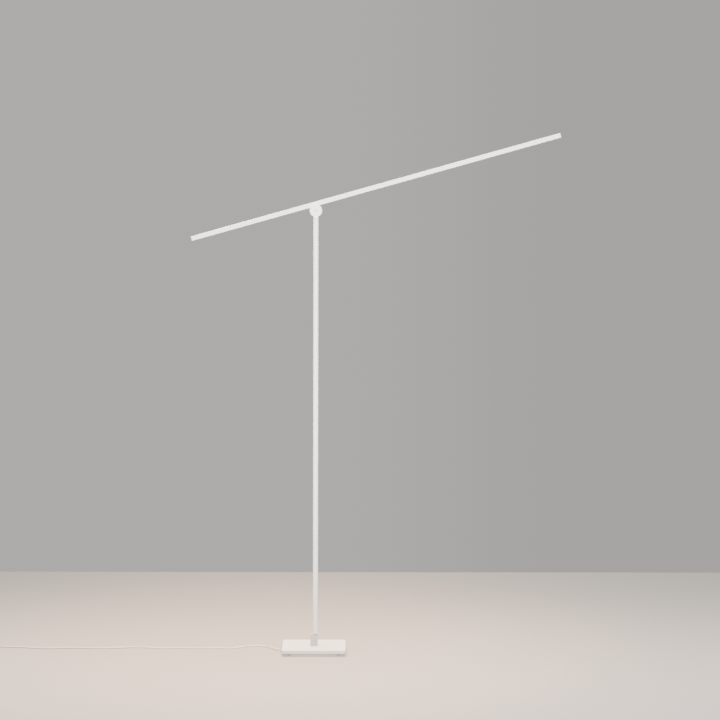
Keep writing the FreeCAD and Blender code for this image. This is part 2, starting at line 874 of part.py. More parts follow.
def hub_axle():
    head = rod(axle_head_radius, (0, web_face, 0), (0, web_face + axle_head_thick, 0))
    shaft = rod(axle_radius, (0, web_face, 0), (0, -axle_end(), 0))
    bore = rod(axle_bore, (0, 0, 0), (0, -axle_end(), 0))
    return on_arm(head.fuse(shaft).cut(bore))


def axle_end():
    return web_face + 2 * disc_spring_thick + nut_height + flat_gap


def disc_springs():
    springs = []
    for n in range(2):
        near = -(web_face + n * disc_spring_thick)
        far = near - disc_spring_thick
        springs.append(tube(disc_spring_radius, axle_radius + 0.2, (0, near, 0), (0, far, 0)))
    return on_arm(group(springs))


def axle_nut():
    near = -(web_face + 2 * disc_spring_thick)
    corner = nut_flats / 2 / math.cos(math.pi / 6)
    outline = []
    for n in range(7):
        angle = n * math.pi / 3
        outline.append(Vector(corner * math.cos(angle), near, corner * math.sin(angle)))
    nut = Part.Face(Part.makePolygon(outline)).extrude(Vector(0, -nut_height, 0))
    return on_arm(nut.cut(rod(axle_radius + screw_fit, (0, near, 0), (0, near - nut_height, 0))))


def dimmer_board():
    near = -(recess_floor + board_gap)
    far = near - board_thick
    board = tube(cap_recess_radius - 1, nut_recess_radius + 1, (0, near, 0), (0, far, 0))
    z = saddle_bottom + saddle_thick / 2
    notch = box(-board_notch, board_notch, far, near, z - board_notch, cap_recess_radius)
    return on_arm(board.cut(notch))


def front_cap():
    back = -(cap_face - cap_thick)
    rim = cap_recess_radius - press_gap * 2
    ring = tube(rim, button_flange + 1, (0, back, 0), (0, -cap_face, 0))
    lip_back = -(cap_face - cap_lip_thick)
    lip = tube(button_flange + 1, button_radius + loose_gap, (0, lip_back, 0), (0, -cap_face, 0))
    return on_arm(ring.fuse(lip).removeSplitter())


def dimmer_button():
    back = -(cap_face - cap_lip_thick - button_flange_gap - button_flange_thick)
    flange = rod(button_flange, (0, back, 0), (0, back - button_flange_thick, 0))
    front = -(cap_face + button_proud)
    face = rod(button_radius, (0, back, 0), (0, front, 0))
    rim = [e for e in face.Edges if isinstance(e.Curve, Part.Circle) and e.CenterOfMass.y < front + 0.1]
    return on_arm(flange.fuse(face.makeFillet(button_rim, rim)))


def rear_cap():
    rim = cap_recess_radius - press_gap * 2
    disc = rod(rim, (0, cap_face - cap_thick, 0), (0, cap_face, 0))
    skirt = tube(rim, rim - cap_skirt, (0, recess_floor, 0), (0, cap_face - cap_thick, 0))
    return on_arm(disc.fuse(skirt).removeSplitter())


# ---- arm ----
def arm_section_box(x0, x1, half_depth, low, high):
    """A bar along the arm; low and high are heights from the arm's own middle line."""
    return box(x0, x1, -half_depth, half_depth, arm_offset + low, arm_offset + high)


def arm_span():
    return -arm_short_end + cap_plate, arm_long_end - cap_plate


def cavity_half():
    return arm_depth / 2 - arm_wall


def arm_profile():
    x0, x1 = arm_span()
    top = arm_height / 2
    profile = arm_section_box(x0, x1, arm_depth / 2, -top, top)
    profile = profile.makeFillet(arm_corner, edges_along(profile, (1, 0, 0)))
    profile = profile.cut(arm_section_box(x0, x1, cavity_half(), -top, web_bottom))
    profile = profile.cut(arm_section_box(x0, x1, cavity_half(), web_bottom + web_thick, top - arm_wall))
    lead_hole = rod(lead_bore, (0, 0, arm_offset), (0, 0, arm_offset + web_bottom + web_thick))
    return on_arm(profile.cut(lead_hole))


def hub_insert():
    half = insert_length / 2
    bar = arm_section_box(-half, half, cavity_half() - press_gap, -arm_height / 2, web_bottom - press_gap)
    for x in (-saddle_screw_x, saddle_screw_x):
        grip = saddle_screw_grip + flat_gap
        hole = rod(saddle_screw_radius + screw_fit, (x, 0, saddle_top), (x, 0, saddle_top + grip))
        bar = bar.cut(hole)
    lead_hole = rod(low_lead_radius + lead_hole_room, (0, 0, saddle_top), (0, 0, arm_offset + web_bottom))
    return on_arm(bar.cut(lead_hole))


def lit_spans():
    """The two stretches of the arm that carry light, one each side of the hub insert."""
    x0, x1 = arm_span()
    half = insert_length / 2
    return ((x0, -half), (half, x1))


def led_boards():
    boards = []
    top = web_bottom - flat_gap
    for x0, x1 in lit_spans():
        a, b = x0 + board_end_gap, x1 - board_end_gap
        boards.append(arm_section_box(a, b, led_board_width / 2, top - led_board_thick, top))
    return on_arm(group(boards))


def led_chips():
    chips = []
    top = web_bottom - flat_gap - led_board_thick
    for x0, x1 in lit_spans():
        count = int((x1 - x0 - chip_pitch) // chip_pitch)
        first = (x0 + x1) / 2 - (count - 1) * chip_pitch / 2
        for n in range(count):
            x = first + n * chip_pitch
            a, b = x - chip_length / 2, x + chip_length / 2
            chips.append(arm_section_box(a, b, chip_width / 2, top - chip_height, top))
    return on_arm(group(chips))


def diffuser(x0, x1):
    low = -arm_height / 2
    half = cavity_half() - press_gap
    body = arm_section_box(x0, x1, half, low, low + diffuser_height)
    inside = arm_section_box(x0, x1, half - diffuser_leg, low + diffuser_skin, low + diffuser_height)
    return on_arm(body.cut(inside))


def diffuser_short():
    x0, x1 = lit_spans()[0]
    return diffuser(x0, x1)


def diffuser_long():
    x0, x1 = lit_spans()[1]
    return diffuser(x0, x1)


def end_caps():
    caps = []
    top = arm_height / 2
    x0, x1 = arm_span()
    for inner, way in ((x0, -1), (x1, 1)):
        a, b = sorted((inner, inner + way * cap_plate))
        plate = arm_section_box(a, b, arm_depth / 2, -top, top)
        plate = plate.makeFillet(arm_corner, edges_along(plate, (1, 0, 0)))
        a, b = sorted((inner, inner - way * cap_plug_length))
        low = web_bottom + web_thick + flat_gap
        plug = arm_section_box(a, b, cavity_half() - flat_gap, low, top - arm_wall - flat_gap)
        caps.append(plate.fuse(plug))
    return on_arm(group(caps))


def arm_lead():
    z = saddle_bottom + saddle_thick / 2
    high = arm_offset + web_bottom + web_thick + arm_lead_rise
    route = [(0, -recess_floor, z), (0, 0, z), (0, 0, high), (arm_lead_reach, 0, high)]
    return on_arm(swept_tube(route, low_lead_radius, arm_lead_bend)[0])


MAKERS = [
    base_plate,
    base_feet,
    foot_screws,
    driver_tray,
    tray_spacers,
    tray_screws,
    driver_pad,
    led_driver,
    terminal_block,
    mains_lead,
    base_lead,
    cord_clamp,
    clamp_screws,
    strain_relief,
    cord_tail,
    supply_cord,
    cord_coil,
    plug_body,
    plug_pins,
    foot_block,
    block_screws,
    upper_bush,
    lower_bush,
    swivel_stop_screw,
    pole_spindle,
    swivel_stop_pin,
    swivel_washer,
    retaining_ring,
    pole_tube,
    pole_set_screws,
    pole_head,
    hub_bush,
    friction_washers,
    pole_lead,
    front_cheek,
    rear_cheek,
    arm_saddle,
    cheek_screws,
    saddle_screws,
    hub_axle,
    disc_springs,
    axle_nut,
    dimmer_board,
    front_cap,
    dimmer_button,
    rear_cap,
    arm_profile,
    hub_insert,
    led_boards,
    led_chips,
    diffuser_short,
    diffuser_long,
    end_caps,
    arm_lead,
]

os.makedirs("parts", exist_ok=True)
for make in MAKERS:
    shape = make()
    name = make.__name__
    shape.exportStep("parts/%s.step" % name)
    facts = (name, len(shape.Solids), shape.Volume, shape.isValid())
    print("%-18s solids %3d  volume %.1f  valid %s" % facts)
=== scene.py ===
import json
import math

import bmesh
import bpy
from mathutils import Matrix, Vector


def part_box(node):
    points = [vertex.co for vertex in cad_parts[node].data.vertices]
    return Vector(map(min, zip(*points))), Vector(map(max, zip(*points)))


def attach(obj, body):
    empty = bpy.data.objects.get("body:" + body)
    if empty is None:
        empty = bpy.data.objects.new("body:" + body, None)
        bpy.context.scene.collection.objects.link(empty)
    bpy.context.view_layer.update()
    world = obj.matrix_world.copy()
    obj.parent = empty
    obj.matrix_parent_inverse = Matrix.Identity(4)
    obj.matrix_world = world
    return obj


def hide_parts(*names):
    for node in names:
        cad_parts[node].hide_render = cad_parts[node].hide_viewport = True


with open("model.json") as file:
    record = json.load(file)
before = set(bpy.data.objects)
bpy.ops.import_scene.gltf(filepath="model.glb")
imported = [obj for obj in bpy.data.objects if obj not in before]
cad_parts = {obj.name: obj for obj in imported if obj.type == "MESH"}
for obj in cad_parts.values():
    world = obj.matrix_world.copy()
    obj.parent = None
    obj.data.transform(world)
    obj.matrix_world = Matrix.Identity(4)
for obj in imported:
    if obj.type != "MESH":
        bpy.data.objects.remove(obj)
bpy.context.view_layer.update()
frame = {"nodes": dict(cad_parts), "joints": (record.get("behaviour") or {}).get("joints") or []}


# ---- Camera ----
# A long lens just above the hub's height, nearly eight metres in front of the lamp and tipped
# down, so that the whole lamp and the first metre of its cord stand in the frame.
camera_place = Vector((0.098, -7.828, 2.063))
tip_down = math.radians(6.195)
turn_right = math.radians(0.642)
lean = math.radians(0.22)
bpy.ops.object.camera_add(location=camera_place)
camera = bpy.context.object
camera.name = "camera"
camera.data.sensor_width = 36.0
camera.data.lens = 96.66
turned = Matrix.Rotation(-turn_right, 4, "Z")
tipped = Matrix.Rotation(math.pi / 2 - tip_down, 4, "X")
leaning = Matrix.Rotation(lean, 4, "Z")
camera.matrix_world = Matrix.Translation(camera_place) @ turned @ tipped @ leaning
bpy.context.scene.camera = camera


# ---- Supply cord ----
# A round two-core mains cord with a soft matt white sheath. It comes out under the left end of the
# base, wanders along the floor, and the rest is wound in two layers of turns with its plug outside.
cord_radius = 0.0028
relief_low, relief_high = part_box("strain_relief")
relief_axis_height = (relief_low.z + relief_high.z) / 2
cord_route = [
    (relief_low.x, 0.0, relief_axis_height),
    (-0.135, 0.0, relief_axis_height),
    (-0.151, 0.0075, 0.0062),
    (-0.166, 0.026, 0.0042),
    (-0.181, 0.048, cord_radius),
    (-0.204, 0.071, cord_radius),
    (-0.243, 0.084, cord_radius),
    (-0.283, 0.072, cord_radius),
    (-0.317, 0.046, cord_radius),
    (-0.352, 0.031, cord_radius),
    (-0.405, 0.044, cord_radius),
    (-0.468, 0.034, cord_radius),
    (-0.545, 0.040, cord_radius),
    (-0.620, 0.035, cord_radius),
    (-0.698, 0.049, cord_radius),
    (-0.775, 0.053, cord_radius),
    (-0.850, 0.036, cord_radius),
    (-0.929, 0.034, cord_radius),
    (-1.008, 0.043, cord_radius),
    (-1.085, 0.033, cord_radius),
    (-1.160, 0.038, cord_radius),
    (-1.235, 0.053, cord_radius),
    (-1.308, 0.061, cord_radius),
]
coil_low, coil_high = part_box("cord_coil")
coil_middle = (coil_low + coil_high) / 2
outer_turn = (coil_high.x - coil_low.x) / 2 - cord_radius
turns_per_layer = 3
inner_turn = outer_turn - 2 * cord_radius * turns_per_layer
points_per_turn = 24
inner_part_turn = 0.25
climb_part_turn = 0.5
total_turns = 2 * turns_per_layer + inner_part_turn
for step in range(int(total_turns * points_per_turn) + 1):
    done = step / points_per_turn
    inward = min(done, turns_per_layer)
    outward = max(0.0, done - turns_per_layer - inner_part_turn)
    radius = outer_turn - 2 * cord_radius * (inward - outward)
    share = min(1.0, max(0.0, (done - turns_per_layer) / climb_part_turn))
    height = cord_radius + 2 * cord_radius * share * share * (3 - 2 * share)
    angle = math.pi / 2 + math.tau * done
    x = coil_middle.x + radius * math.cos(angle)
    y = coil_middle.y + radius * math.sin(angle)
    cord_route.append((x, y, height))
plug_low, plug_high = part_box("plug_body")
plug_axis_height = (plug_low.z + plug_high.z) / 2
boot_start = Vector(((plug_low.x + plug_high.x) / 2, plug_high.y, plug_axis_height))
lift_at_boot = 0.0006
length_in_boot = 0.006
cord_route.append((boot_start.x, boot_start.y, boot_start.z + lift_at_boot))
cord_route.append((boot_start.x, boot_start.y - length_in_boot, boot_start.z))

cord_line = bpy.data.curves.new("supply_cord_line", "CURVE")
cord_line.dimensions = "3D"
cord_line.bevel_depth = cord_radius
cord_line.bevel_resolution = 4
cord_line.resolution_u = 6
cord_line.use_fill_caps = True
spline = cord_line.splines.new("NURBS")
spline.points.add(len(cord_route) - 1)
for point, place in zip(spline.points, cord_route):
    point.co = (*place, 1.0)
spline.order_u = 3
spline.use_endpoint_u = True
supply_cord = bpy.data.objects.new("supply_cord_whole", cord_line)
bpy.context.collection.objects.link(supply_cord)


def shader_of(material):
    """The shader node that gives a material its look."""
    return material.node_tree.nodes["Principled BSDF"]


def new_finish(name, colour, roughness, metallic=0.0):
    """A material whose plain numbers are set on its shader's own sockets."""
    material = bpy.data.materials.new(name)
    material.use_nodes = True
    shader = shader_of(material)
    shader.inputs["Base Color"].default_value = (*colour, 1.0)
    shader.inputs["Roughness"].default_value = roughness
    shader.inputs["Metallic"].default_value = metallic
    return material


def speckle(material, cells_per_metre, detail=2.0, stretch=(1.0, 1.0, 1.0)):
    """A noise pattern fixed to the piece, and stretched along an axis where the finish has a grain."""
    nodes, links = material.node_tree.nodes, material.node_tree.links
    place = nodes.new("ShaderNodeTexCoord")
    fit = nodes.new("ShaderNodeMapping")
    fit.inputs["Scale"].default_value = stretch
    noise = nodes.new("ShaderNodeTexNoise")
    noise.inputs["Scale"].default_value = cells_per_metre
    noise.inputs["Detail"].default_value = detail
    links.new(place.outputs["Object"], fit.inputs["Vector"])
    links.new(fit.outputs["Vector"], noise.inputs["Vector"])
    return noise.outputs["Fac"]


def two_tones(material, pattern, dark, light):
    """Lets the colour drift between two near tones."""
    mix = material.node_tree.nodes.new("ShaderNodeMix")
    mix.data_type = "RGBA"
    mix.inputs["A"].default_value = (*dark, 1.0)
    mix.inputs["B"].default_value = (*light, 1.0)
    links = material.node_tree.links
    links.new(pattern, mix.inputs["Factor"])
    links.new(mix.outputs["Result"], shader_of(material).inputs["Base Color"])


def uneven_gloss(material, pattern, low, high):
    """Lets the roughness drift with a pattern."""
    span = material.node_tree.nodes.new("ShaderNodeMapRange")
    span.inputs["To Min"].default_value = low
    span.inputs["To Max"].default_value = high
    links = material.node_tree.links
    links.new(pattern, span.inputs["Value"])
    links.new(span.outputs["Result"], shader_of(material).inputs["Roughness"])


def surface_relief(material, pattern, depth):
    """Raises the surface by the pattern; the depth is in metres."""
    bump = material.node_tree.nodes.new("ShaderNodeBump")
    bump.inputs["Distance"].default_value = depth
    links = material.node_tree.links
    links.new(pattern, bump.inputs["Height"])
    links.new(bump.outputs["Normal"], shader_of(material).inputs["Normal"])


def moulded(name, dark, light, low_gloss, high_gloss, drift=50.0, grain=1600.0, depth=0.00005):
    """Moulded plastic or rubber: its tone drifts a little, over a fine spark-eroded grain."""
    material = new_finish(name, light, high_gloss)
    two_tones(material, speckle(material, drift), dark, light)
    texture = speckle(material, grain)
    uneven_gloss(material, texture, low_gloss, high_gloss)
    surface_relief(material, texture, depth)
    return material


sheath_dark, sheath_light = (0.80, 0.79, 0.765), (0.85, 0.845, 0.83)
cord_sheath = moulded(
    "cord_sheath", sheath_dark, sheath_light, 0.42, 0.58, drift=35.0, grain=1800.0, depth=0.00006
)
cord_line.materials.append(cord_sheath)
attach(supply_cord, "base")
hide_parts("supply_cord", "cord_coil")


def coat(finish, *names):
    """Gives CAD pieces their finish."""
    for name in names:
        for slot in frame["nodes"][name].material_slots:
            slot.material = finish


coat(cord_sheath, "cord_tail")


# ---- Strain relief ----
# A moulded elastomer sleeve held in the tray's wall by its flange. It tapers along the cord, and
# its grooves let it bend a little more at each rib, so the cord never kinks at the exit.
def turned_piece(name, start, way, outline, sides):
    """A lathe shape: a filled circle extruded one way, ring by ring, to (distance, radius)."""
    bpy.ops.object.select_all(action="DESELECT")
    way = Vector(way)
    tilt = way.to_track_quat("Z", "Y").to_euler()
    first = start + way * outline[0][0]
    bpy.ops.mesh.primitive_circle_add(
        vertices=sides, radius=outline[0][1], fill_type="NGON", location=first, rotation=tilt
    )
    piece = bpy.context.object
    piece.name = name
    bpy.ops.object.transform_apply(location=True, rotation=True, scale=True)
    bpy.ops.object.mode_set(mode="EDIT")
    bpy.ops.mesh.select_all(action="SELECT")
    for (was_at, was_radius), (now_at, now_radius) in zip(outline, outline[1:]):
        step = way * (now_at - was_at)
        bpy.ops.mesh.extrude_region_move(TRANSFORM_OT_translate={"value": step})
        grow = now_radius / was_radius
        bpy.ops.transform.resize(value=(grow,) * 3, center_override=start + way * now_at)
    bpy.ops.mesh.select_all(action="SELECT")
    bpy.ops.mesh.normals_make_consistent(inside=False)
    bpy.ops.object.mode_set(mode="OBJECT")
    return piece


def soften(piece, width, segments=2, angle=30.0):
    """Rounds the piece's sharp edges and smooths what is left between them."""
    bpy.ops.object.select_all(action="DESELECT")
    piece.select_set(True)
    bpy.context.view_layer.objects.active = piece
    rounding = piece.modifiers.new("rounding", "BEVEL")
    rounding.width = width
    rounding.segments = segments
    rounding.limit_method = "ANGLE"
    rounding.angle_limit = math.radians(angle)
    bpy.ops.object.modifier_apply(modifier=rounding.name)
    bpy.ops.object.shade_smooth_by_angle(angle=math.radians(angle))


relief_flange = (relief_high.z - relief_low.z) / 2
wall_outside = -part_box("driver_tray")[1].x
relief_neck = 0.0033
neck_length = 0.0012
sleeve_thick, sleeve_thin = 0.0041, 0.0033
sleeve_start = 0.0020
sleeve_end = wall_outside - relief_low.x
plain_start = 0.003
rib_count = 7
rib_pitch = (sleeve_end - sleeve_start - plain_start) / rib_count
groove_width = 0.0012
groove_floor = 0.0030
relief_outline = [(-neck_length, relief_neck), (0.0, relief_neck), (0.0, relief_flange)]
relief_outline += [(sleeve_start, relief_flange), (sleeve_start, sleeve_thick)]
for rib in range(rib_count):
    groove_at = sleeve_start + plain_start + rib * rib_pitch
    taper = (groove_at - sleeve_start) / (sleeve_end - sleeve_start)
    rib_radius = sleeve_thick + (sleeve_thin - sleeve_thick) * taper
    groove_end = groove_at + groove_width
    relief_outline += [(groove_at, rib_radius), (groove_at, groove_floor)]
    relief_outline += [(groove_end, groove_floor), (groove_end, rib_radius)]
relief_outline += [(sleeve_end, sleeve_thin), (sleeve_end, cord_radius)]
relief_start = Vector((wall_outside, 0.0, relief_axis_height))
strain_sleeve = turned_piece("strain_sleeve", relief_start, (-1.0, 0.0, 0.0), relief_outline, 40)
soften(strain_sleeve, 0.00015)
sleeve_dark, sleeve_light = (0.77, 0.76, 0.735), (0.82, 0.81, 0.79)
elastomer = moulded(
    "white_elastomer", sleeve_dark, sleeve_light, 0.55, 0.72, drift=60.0, grain=2200.0
)
strain_sleeve.data.materials.append(elastomer)
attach(strain_sleeve, "base")
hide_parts("strain_relief")


# ---- Mains plug ----
# A moulded two-pin plug: a flat body with a finger waist and grip ribs, a ribbed boot over the
# cord, and two round pins in half-length insulating sleeves. It lies flat beside the coil.
boot_length = 0.024
boot_tip, boot_root = 0.0033, 0.005
root_length = 0.003
boot_rib_count = 5
boot_rib_pitch = 0.0036
boot_plain_start = 0.0025
boot_groove_width = 0.0014
boot_groove_deep, boot_groove_shallow = 0.0007, 0.0005
boot_rib_growth = 0.0001
boot_outline = [(0.0, cord_radius), (0.0, boot_tip)]
for rib in range(boot_rib_count):
    groove_at = boot_plain_start + rib * boot_rib_pitch
    groove_end = groove_at + boot_groove_width
    rib_radius = boot_tip + (boot_root - boot_tip) * groove_at / boot_length
    boot_outline += [(groove_at, rib_radius), (groove_at, rib_radius - boot_groove_deep)]
    boot_outline += [(groove_end, rib_radius - boot_groove_shallow)]
    boot_outline += [(groove_end, rib_radius + boot_rib_growth)]
boot_outline += [(boot_length, boot_root), (boot_length + root_length, boot_root)]
plug_boot = turned_piece("plug_boot", boot_start, (0.0, -1.0, 0.0), boot_outline, 40)
soften(plug_boot, 0.00015)

plug_back = boot_start.y - boot_length
plug_half = (plug_high.x - plug_low.x) / 2
plug_middle = Vector((boot_start.x, (plug_back + plug_low.y) / 2, plug_axis_height))


def block(name, middle, size):
    """A box whose place and size are in its own mesh."""
    bpy.ops.object.select_all(action="DESELECT")
    bpy.ops.mesh.primitive_cube_add(size=1.0, location=middle)
    piece = bpy.context.object
    piece.name = name
    piece.scale = size
    bpy.ops.object.transform_apply(location=True, rotation=True, scale=True)
    return piece


def pick(kind, test):
    """In edit mode, selects the faces or edges whose middle and direction pass a test."""
    bpy.ops.mesh.select_mode(type="FACE" if kind == "faces" else "EDGE")
    mesh = bmesh.from_edit_mesh(bpy.context.edit_object.data)
    for face in mesh.faces:
        face.select_set(False)
    for edge in mesh.edges:
        edge.select_set(False)
    for item in getattr(mesh, kind):
        if kind == "faces":
            middle, way = item.calc_center_median(), item.normal
        else:
            a, b = item.verts[0].co, item.verts[1].co
            middle, way = (a + b) / 2, (b - a).normalized()
        if test(middle, way):
            item.select_set(True)
    bmesh.update_edit_mesh(bpy.context.edit_object.data)


def along(axis, least=0.9):
    """A test for edges that run along an axis, and for faces that look either way along it."""
    return lambda middle, way: abs(getattr(way, axis)) > least


def facing(axis):
    """A test for faces that look the positive way along an axis."""
    return lambda middle, way: getattr(way, axis) > 0.9


def level_with(axis, value):
    """A test for edges whose middle lies at one value of an axis."""
    return lambda middle, way: abs(getattr(middle, axis) - value) < 1e-5


plug_size = (2 * plug_half, plug_back - plug_low.y, plug_high.z - plug_low.z)
plug_shell = block("plug_shell", plug_middle, plug_size)
cut_pitch = 0.008
shoulder_at, waist_at, hip_at = (plug_back - n * cut_pitch for n in (1, 2, 3))
neck_shares = (0.55, 1.0, 0.8)
shoulder_shares = (0.88, 1.0, 0.96)
waist_shares = (0.86, 1.0, 0.94)
bpy.ops.object.mode_set(mode="EDIT")
for cut in (shoulder_at, waist_at, hip_at):
    bpy.ops.mesh.select_all(action="SELECT")
    bpy.ops.mesh.bisect(plane_co=(0.0, cut, 0.0), plane_no=(0.0, 1.0, 0.0))
pick("faces", facing("y"))
bpy.ops.transform.resize(value=neck_shares, center_override=plug_middle)
pick("edges", level_with("y", waist_at))
bpy.ops.transform.resize(value=waist_shares, center_override=plug_middle)
pick("edges", level_with("y", shoulder_at))
bpy.ops.transform.resize(value=shoulder_shares, center_override=plug_middle)
pick("edges", along("y", 0.85))
bpy.ops.mesh.bevel(offset=0.0035, segments=4)
bpy.ops.object.mode_set(mode="OBJECT")
soften(plug_shell, 0.0008, 3, 35.0)

grip_ribs_per_side = 5
grip_rib_pitch = 0.0024
grip_rib_size = (0.0014, 0.0011, 0.0072)
grip_rib_sink = 0.0001
grip_ribs = []
for side in (-1, 1):
    for n in range(grip_ribs_per_side):
        rib_x = plug_middle.x + side * (plug_half * waist_shares[0] - grip_rib_sink)
        rib_y = waist_at + (n - grip_ribs_per_side // 2) * grip_rib_pitch
        grip_ribs.append(block("grip_rib", (rib_x, rib_y, plug_axis_height), grip_rib_size))
        soften(grip_ribs[-1], 0.0004)


def join(first, others):
    """Makes one piece of several meshes."""
    bpy.ops.object.select_all(action="DESELECT")
    for piece in (first, *others):
        piece.select_set(True)
    bpy.context.view_layer.objects.active = first
    bpy.ops.object.join()
    return first


join(plug_shell, [plug_boot, *grip_ribs])
plug_dark, plug_light = (0.80, 0.795, 0.775), (0.84, 0.84, 0.825)
plug_white = moulded(
    "plug_white", plug_dark, plug_light, 0.4, 0.55, drift=40.0, grain=1400.0, depth=0.00006
)
plug_shell.data.materials.append(plug_white)
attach(plug_shell, "base")
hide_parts("plug_body")

pins_low, pins_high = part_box("plug_pins")
pin_radius = (pins_high.z - pins_low.z) / 2
pin_length = pins_high.y - pins_low.y
pin_root = 0.001
pin_outline = [(-pin_root, pin_radius), (pin_length - 0.0016, pin_radius)]
pin_outline += [(pin_length - 0.0005, pin_radius * 0.72), (pin_length, pin_radius * 0.35)]
pin_sleeve_radius = pin_radius * 1.06
pin_sleeve_length = 0.0104
sleeve_outline = [(-pin_root, pin_radius), (0.0, pin_radius), (0.0, pin_sleeve_radius)]
sleeve_outline += [(pin_sleeve_length, pin_sleeve_radius), (pin_sleeve_length, pin_radius)]
metal_pins, pin_sleeves = [], []
for side in (-1, 1):
    pin_x = plug_middle.x + side * ((pins_high.x - pins_low.x) / 2 - pin_radius)
    pin_start = Vector((pin_x, plug_low.y, plug_axis_height))
    metal_pins.append(turned_piece("metal_pin", pin_start, (0.0, -1.0, 0.0), pin_outline, 32))
    soften(metal_pins[-1], 0.0003)
    pin_sleeves.append(turned_piece("pin_sleeve", pin_start, (0.0, -1.0, 0.0), sleeve_outline, 32))
    soften(pin_sleeves[-1], 0.00008)
plug_pins_metal = join(metal_pins[0], metal_pins[1:])
plug_pins_metal.name = "plug_pins_metal"
plug_pin_sleeves = join(pin_sleeves[0], pin_sleeves[1:])
plug_pin_sleeves.name = "plug_pin_sleeves"
nickel = new_finish("nickel_plate", (0.62, 0.60, 0.56), 0.25, 1.0)
nickel_streaks = speckle(nickel, 900.0, 3.0, (1.0, 0.05, 1.0))
two_tones(nickel, nickel_streaks, (0.58, 0.56, 0.52), (0.68, 0.66, 0.62))
uneven_gloss(nickel, nickel_streaks, 0.18, 0.36)
plug_pins_metal.data.materials.append(nickel)
dark_sleeve = new_finish("pin_sleeve_polymer", (0.05, 0.05, 0.055), 0.4)
sleeve_grain = speckle(dark_sleeve, 1500.0)
two_tones(dark_sleeve, sleeve_grain, (0.045, 0.045, 0.05), (0.06, 0.06, 0.065))
uneven_gloss(dark_sleeve, sleeve_grain, 0.35, 0.5)
plug_pin_sleeves.data.materials.append(dark_sleeve)
for pins in (plug_pins_metal, plug_pin_sleeves):
    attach(pins, "base")
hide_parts("plug_pins")


# ---- Coil tie ----
# A hook-and-loop strap, nine millimetres wide, closed round the wound cord on the side that faces
# the lamp. Its end laps over itself at the top and lifts a little.
tie_width = 0.009
tie_thick = 0.0008
tie_x = coil_middle.x + (outer_turn + inner_turn) / 2
tie_middle = Vector((tie_x, coil_middle.y, (coil_high.z + tie_thick) / 2))
bundle_width = outer_turn - inner_turn + 2 * cord_radius


def thicken(piece, wall, offset):
    """Gives a skin its wall: half to each side at an offset of 0, all of it inwards at -1."""
    thickness = piece.modifiers.new("thickness", "SOLIDIFY")
    thickness.thickness = wall
    thickness.offset = offset
    bpy.ops.object.modifier_apply(modifier=thickness.name)


coil_tie = block("coil_tie", tie_middle, (bundle_width, tie_width, coil_high.z))
bpy.ops.object.mode_set(mode="EDIT")
pick("edges", along("y"))
bpy.ops.mesh.bevel(offset=cord_radius, segments=6)
pick("faces", along("y"))
bpy.ops.mesh.delete(type="FACE")
bpy.ops.object.mode_set(mode="OBJECT")
thicken(coil_tie, tie_thick, 0.0)
soften(coil_tie, 0.0002)
tab_shift = 0.003
tab_length = 0.015
tab_lift = 0.0007
tab_place = tie_middle + Vector((tab_shift, 0.0, coil_high.z / 2 + tie_thick))
tie_tab = block("tie_tab", tab_place, (tab_length, tie_width * 0.96, tie_thick))
bpy.ops.object.mode_set(mode="EDIT")
pick("edges", along("z"))
bpy.ops.mesh.bevel(offset=0.0025, segments=5)
pick("faces", facing("x"))
bpy.ops.transform.translate(value=(0.0, 0.0, tab_lift))
bpy.ops.object.mode_set(mode="OBJECT")
soften(tie_tab, 0.0002)
join(coil_tie, [tie_tab])
tie_cloth = new_finish("tie_cloth", (0.72, 0.72, 0.70), 0.85)
loops = speckle(tie_cloth, 2600.0, 4.0)
two_tones(tie_cloth, loops, (0.60, 0.60, 0.58), (0.80, 0.80, 0.78))
surface_relief(tie_cloth, loops, 0.0002)
shader_of(tie_cloth).inputs["Sheen Weight"].default_value = 0.4
coil_tie.data.materials.append(tie_cloth)
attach(coil_tie, "base")


# ---- Base plate and foot block ----
# A solid steel plate with a pocket milled in its underside, and a steel block screwed to it from
# below. Both are powder coated with a fine orange peel; the plate is matt white, and the block's
# coat is painted greyer as painted shade on its front.
def powder_coat(name, shade):
    """Matt polyester powder on metal: a faint drift of tone, and a fine orange peel."""
    material = new_finish(name, shade, 0.45)
    darker = tuple(value * 0.93 for value in shade)
    lighter = tuple(min(1.0, value * 1.05) for value in shade)
    two_tones(material, speckle(material, 9.0, 12.0), darker, lighter)
    peel = speckle(material, 620.0, 3.0)
    uneven_gloss(material, peel, 0.3, 0.6)
    surface_relief(material, peel, 0.00032)
    return material


steel_coat = powder_coat("powder_coat_on_steel", (0.86, 0.85, 0.83))
coat(steel_coat, "base_plate")
# The block is the same white as the plate; its darker coat is painted shade for its front face.
block_painted_shade_coat = powder_coat("powder_coat_on_block", (0.52, 0.485, 0.50))
coat(block_painted_shade_coat, "foot_block")


# ---- Driver tray ----
# A tray pressed from 1.2 mm steel sheet and powder coated like the plate. Four screws hold it over
# the pocket, and two rows of punched slots let the driver's heat out.
tray_low, tray_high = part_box("driver_tray")
tray_middle = (tray_low + tray_high) / 2
tray_size = tray_high - tray_low
sheet_thick = 0.0012
corner_radius = 0.003
bend_radius = 0.0018
pressed_tray = block("pressed_tray", tray_middle, tray_size)
bpy.ops.object.mode_set(mode="EDIT")
pick("edges", along("z"))
bpy.ops.mesh.bevel(offset=corner_radius, segments=6)
pick("edges", level_with("z", tray_low.z))
bpy.ops.mesh.bevel(offset=bend_radius, segments=4)
pick("faces", facing("z"))
bpy.ops.mesh.delete(type="FACE")
bpy.ops.object.mode_set(mode="OBJECT")
thicken(pressed_tray, sheet_thick, -1.0)


